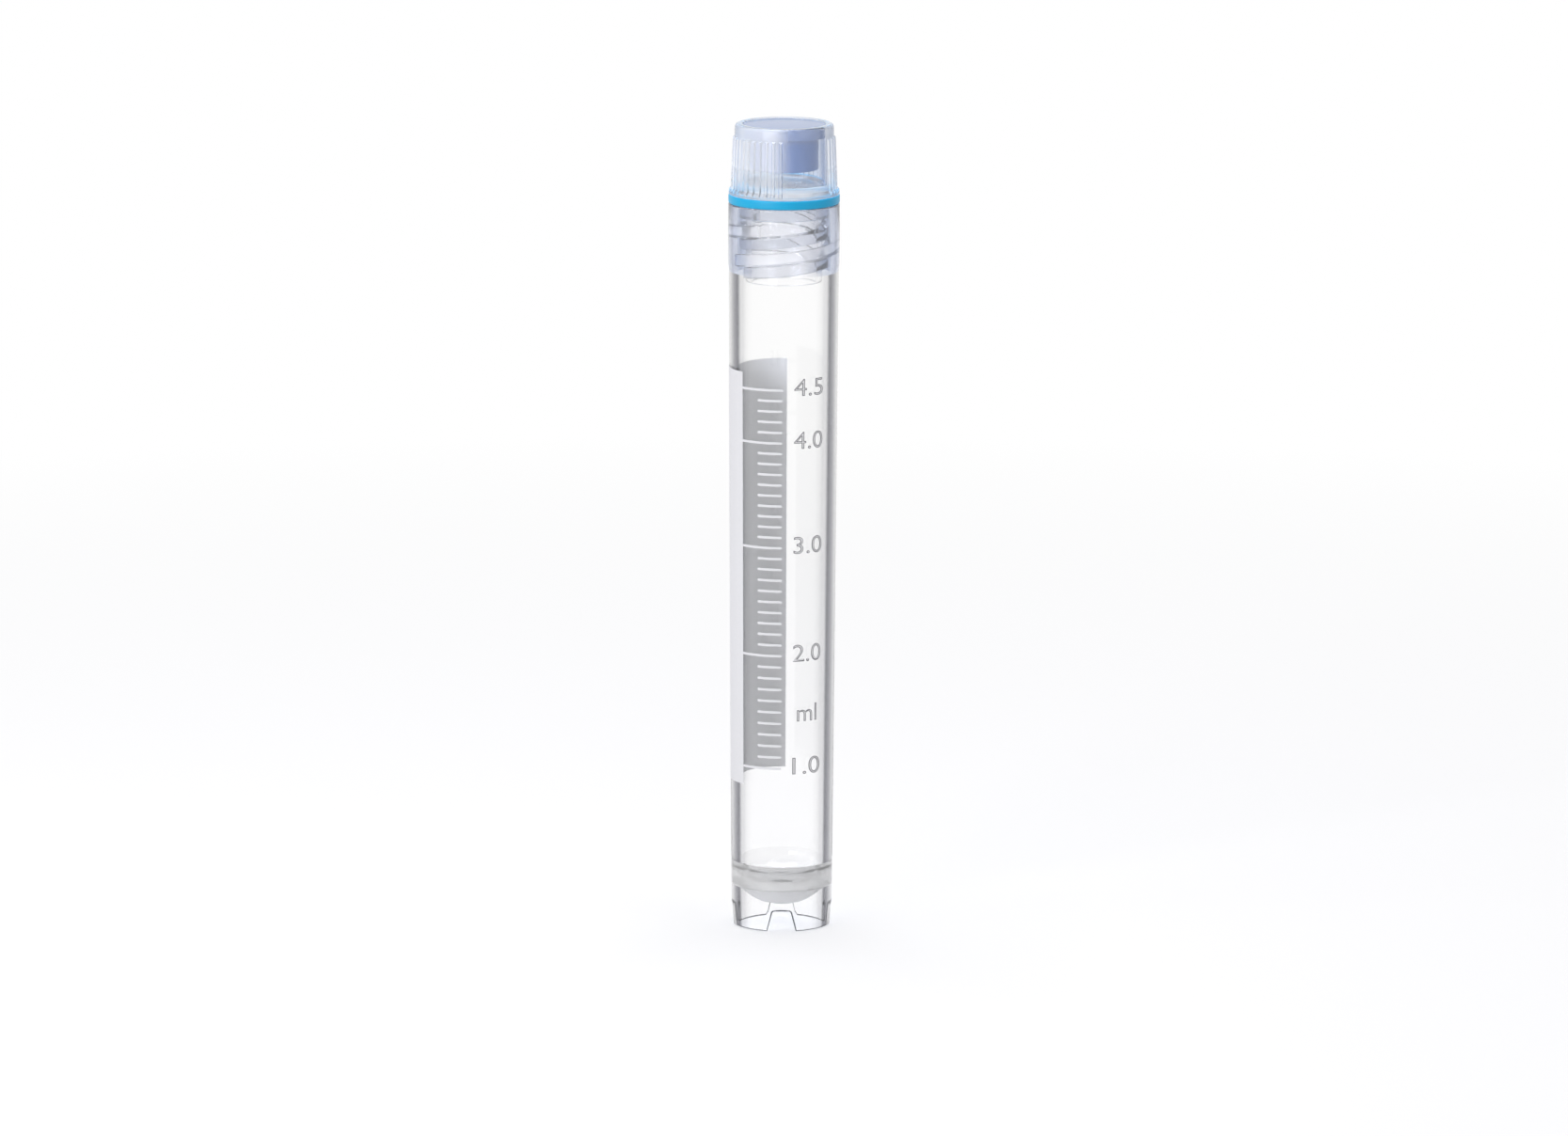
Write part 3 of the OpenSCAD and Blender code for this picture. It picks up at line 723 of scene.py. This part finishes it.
def inkPatch(left, right, low, high, stepDegrees=1.5):
    # a patch of ink between two angles and two heights, which follows the tube's taper
    patch = bmesh.new()
    verts = [patch.verts.new(at(tubeWall(h) + ink["proud"], left, h) * mm) for h in (low, high)]
    edge = patch.edges.new(verts)
    bmesh.ops.spin(patch, geom=verts + [edge], cent=(0, 0, 0), axis=(0, 0, 1), dvec=(0, 0, 0),
                   angle=math.radians(right - left), steps=max(2, round(abs(right - left) / stepDegrees)),
                   use_merge=False)
    bmesh.ops.recalc_face_normals(patch, faces=patch.faces)
    middle = patch.faces[:][0]
    outward = middle.normal.dot(middle.calc_center_median() * Vector((1, 1, 0))) > 0
    bmesh.ops.solidify(patch, geom=patch.faces[:], thickness=(-1 if outward else 1) * ink["thickness"] * mm)
    bmesh.ops.recalc_face_normals(patch, faces=patch.faces)
    return patch


panel = {"low": 16.7, "high": 63.8, "right": -48.3, "left": -184.4}

writingPanel = newObject("writingPanel", inkPatch(panel["right"], panel["left"], panel["low"], panel["high"]))
finishPiece(writingPanel, {"outer": whiteInk, "base": brightInkAndBackLight}, "vial_tube", placeOf=inkCoat)

# long marks stand at the heights of whole volumes and of 4.5 ml, with a short one for each tenth between
marks = {"heights": {4.5: 62.0, 4.0: 56.0, 3.0: 44.07, 2.0: 31.74, 1.0: 18.81}, "firstTenth": 10,
         "lastTenth": 45, "line": 0.27, "longLeft": -48.1, "shortLeft": -28, "right": -1.2, "stepDegrees": 3}


def markHeight(volume):
    # the marks stand closer together towards the wider top, evenly between the long ones
    above = min(v for v in marks["heights"] if v >= volume)
    below = max(v for v in marks["heights"] if v <= volume)
    share = (volume - below) / (above - below) if above > below else 0
    return marks["heights"][below] + share * (marks["heights"][above] - marks["heights"][below])


def takeIn(target, shape):
    # copies a finished shape into a larger one and frees it
    mesh = bpy.data.meshes.new("part")
    shape.to_mesh(mesh)
    shape.free()
    target.from_mesh(mesh)
    bpy.data.meshes.remove(mesh)


scale = bmesh.new()
for tenth in range(marks["firstTenth"], marks["lastTenth"] + 1):
    height = markHeight(tenth / 10)
    left = marks["longLeft"] if tenth / 10 in marks["heights"] else marks["shortLeft"]
    takeIn(scale, inkPatch(left, marks["right"], height - marks["line"] / 2, height + marks["line"] / 2,
                           marks["stepDegrees"]))
finishPiece(newObject("graduation", scale), {"outer": whiteInk, "base": brightInkAndBackLight}, "vial_tube",
            placeOf=inkCoat)

# strips are cut this wide so that a word bends round the tube; the unit stands lower and further in
numerals = {
    "left": 11.5, "right": 46, "height": 1.95, "raise": 0.3, "unit": "ml", "unitHeight": 25.2,
    "unitIndent": 5, "strip": 0.2, "strips": 40, "margin": 0.3, "curveSteps": 4,
    # the outline layer is painted shade under the white strokes
    "layers": {"numeralShadeOutlines": {"ink": inkOutlineShade, "grow": 0.0, "lift": 0.0},
               "numerals": {"ink": brightInkAndBackLight, "grow": -0.03, "lift": 0.012}},
}


def figureMesh(text, grow):
    # a word in the built-in font, one unit high, its strokes grown or thinned
    curve = bpy.data.curves.new("figure", "FONT")
    curve.body = text
    curve.size = 1
    curve.extrude = ink["thickness"] / 2
    curve.offset = grow
    curve.resolution_u = numerals["curveSteps"]
    figure = bpy.data.objects.new("figure", curve)
    scene.collection.objects.link(figure)
    bpy.context.view_layer.update()
    flat = bpy.data.meshes.new_from_object(figure.evaluated_get(bpy.context.evaluated_depsgraph_get()))
    bpy.data.objects.remove(figure)
    bpy.data.curves.remove(curve)
    shape = bmesh.new()
    shape.from_mesh(flat)
    bpy.data.meshes.remove(flat)
    return shape


def wrappedWord(text, height, grow, lift):
    # a word is set flat, cut into narrow strips and wrapped round the tube at its height
    shape = figureMesh(text, grow)
    xs = [v.co.x for v in shape.verts]
    ys = [v.co.y for v in shape.verts]
    radius = tubeWall(height)
    tall = numerals["height"] / (max(ys) - min(ys) - 2 * grow)
    wide = radius * math.radians(numerals["right"] - numerals["left"]) / (max(xs) - min(xs) - 2 * grow)
    indent = 0
    if text == numerals["unit"]:
        wide, indent = tall, numerals["unitIndent"]
    left = radius * math.radians(numerals["left"] + indent)
    for v in shape.verts:
        v.co = Vector(((v.co.x - min(xs) - grow) * wide + left,
                       (v.co.y - (max(ys) + min(ys)) / 2) * tall + height, v.co.z))
    for cut in range(1, numerals["strips"]):
        across = left - numerals["margin"] + numerals["strip"] * cut
        bmesh.ops.bisect_plane(shape, geom=shape.verts[:] + shape.edges[:] + shape.faces[:],
                               dist=drawing["mergeNear"], plane_co=(across, 0, 0), plane_no=(1, 0, 0))
    for v in shape.verts:
        turn = math.degrees(v.co.x / radius)
        v.co = at(tubeWall(v.co.y) + ink["proud"] + ink["thickness"] / 2 + lift + v.co.z, turn, v.co.y) * mm
    bmesh.ops.remove_doubles(shape, verts=shape.verts, dist=drawing["mergeFine"])
    bmesh.ops.recalc_face_normals(shape, faces=shape.faces)
    return shape


labels = {f"{volume:.1f}": height + numerals["raise"] for volume, height in marks["heights"].items()}
labels[numerals["unit"]] = numerals["unitHeight"]
for name, layer in numerals["layers"].items():
    words = bmesh.new()
    for text, height in labels.items():
        takeIn(words, wrappedWord(text, height, layer["grow"], layer["lift"]))
    finishPiece(newObject(name, words), {"ink": layer["ink"]}, "vial_tube")


# Stage, light and camera: a white table that fades into a white room

stage = {"ambient": 0.36, "floorColour": "#D6D6D8", "floorGlow": 0.275, "fadeStart": 0.1, "fadeEnd": 0.32,
         "floorSize": 4, "floorDrop": 0.02}


def whiteForLens(tree):
    # 1 for rays that leave the camera, straight or by way of gloss and clear plastic
    path = addNode(tree, "ShaderNodeLightPath").outputs
    first = addNode(tree, "ShaderNodeMath", {0: path["Is Camera Ray"], 1: path["Is Glossy Ray"]},
                    operation="MAXIMUM").outputs["Value"]
    return addNode(tree, "ShaderNodeMath", {0: first, 1: path["Is Transmission Ray"]},
                   operation="MAXIMUM").outputs["Value"]


world = bpy.data.worlds.new("softStudio")
scene.world = world
world.use_nodes = True
world.node_tree.nodes.clear()
roomLight = addNode(world.node_tree, "ShaderNodeMix", {
    "Factor": whiteForLens(world.node_tree), "A": grey(stage["ambient"]), "B": grey(1)}, data_type="RGBA")
room = addNode(world.node_tree, "ShaderNodeBackground", {"Color": roomLight.outputs["Result"],
                                                         "Strength": 1.0})
addNode(world.node_tree, "ShaderNodeOutputWorld", {"Surface": room.outputs["Background"]})

# matt white table paper: a faint glow keeps it light by the vial, and it fades to pure white further off
floorMaterial, floorTree = newTree("whiteTable")
spot = addNode(floorTree, "ShaderNodeTexCoord").outputs["Object"]
reach = addNode(floorTree, "ShaderNodeVectorMath", {0: spot}, operation="LENGTH").outputs["Value"]
fade = addNode(floorTree, "ShaderNodeMapRange", {"Value": reach, "From Min": stage["fadeStart"],
                                                 "From Max": stage["fadeEnd"]})
seen = whiteForLens(floorTree)
faded = addNode(floorTree, "ShaderNodeMath", {0: fade.outputs["Result"], 1: seen}, operation="MULTIPLY")
paper = addNode(floorTree, "ShaderNodeBsdfDiffuse", {"Color": fromHex(stage["floorColour"])})
glowLevel = addNode(floorTree, "ShaderNodeMath", {0: seen, 1: stage["floorGlow"]}, operation="MULTIPLY")
glow = addNode(floorTree, "ShaderNodeEmission", {"Color": grey(1), "Strength": glowLevel.outputs["Value"]})
near = addNode(floorTree, "ShaderNodeAddShader", {0: paper.outputs["BSDF"], 1: glow.outputs["Emission"]})
far = addNode(floorTree, "ShaderNodeEmission", {"Color": grey(1), "Strength": 1.0})
table = addNode(floorTree, "ShaderNodeMixShader", {"Fac": faded.outputs["Value"], 1: near.outputs["Shader"],
                                                   2: far.outputs["Emission"]})
addNode(floorTree, "ShaderNodeOutputMaterial", {"Surface": table.outputs["Shader"]})

floorShape = bmesh.new()
bmesh.ops.create_grid(floorShape, x_segments=1, y_segments=1, size=stage["floorSize"])
bmesh.ops.translate(floorShape, verts=floorShape.verts, vec=(0, 0, -stage["floorDrop"] * mm))
floor = newObject("floor", floorShape)
floor.data.materials.append(floorMaterial)

lamps = {
    "keyLamp": {"place": (-0.25, -0.34, 0.17), "size": 0.22, "power": 0.8},
    "sideLamp": {"place": (-0.4, -0.15, 0.17), "size": 0.18, "power": 0.12},
    "fillLamp": {"place": (0.6, -0.5, 0.3), "size": 0.5, "power": 0.4},
    "topLamp": {"place": (0.0, 0.1, 0.75), "size": 0.5, "power": 3.7},
}
aim = Vector((0, 0, 0.05))
for name, lamp in lamps.items():
    light = bpy.data.lights.new(name, "AREA")
    light.shape = "SQUARE"
    light.size = lamp["size"]
    light.energy = lamp["power"]
    holder = bpy.data.objects.new(name, light)
    holder.location = lamp["place"]
    holder.rotation_euler = (aim - holder.location).to_track_quat("-Z", "Y").to_euler()
    scene.collection.objects.link(holder)

view = {"side": 0.14, "distance": 1105.4, "height": 249, "tilt": 10.671, "roll": 0.21, "lens": 229.34,
        "sensor": 36, "clipEnd": 20}
lens = bpy.data.cameras.new("camera")
lens.sensor_width = view["sensor"]
lens.lens = view["lens"]
lens.clip_end = view["clipEnd"]
camera = bpy.data.objects.new("camera", lens)
camera.matrix_world = (Matrix.Translation(Vector((view["side"], -view["distance"], view["height"])) * mm)
                       @ Matrix.Rotation(math.radians(90 - view["tilt"]), 4, "X")
                       @ Matrix.Rotation(math.radians(view["roll"]), 4, "Z"))
scene.collection.objects.link(camera)
scene.camera = camera
print("stage, lamps and camera set")
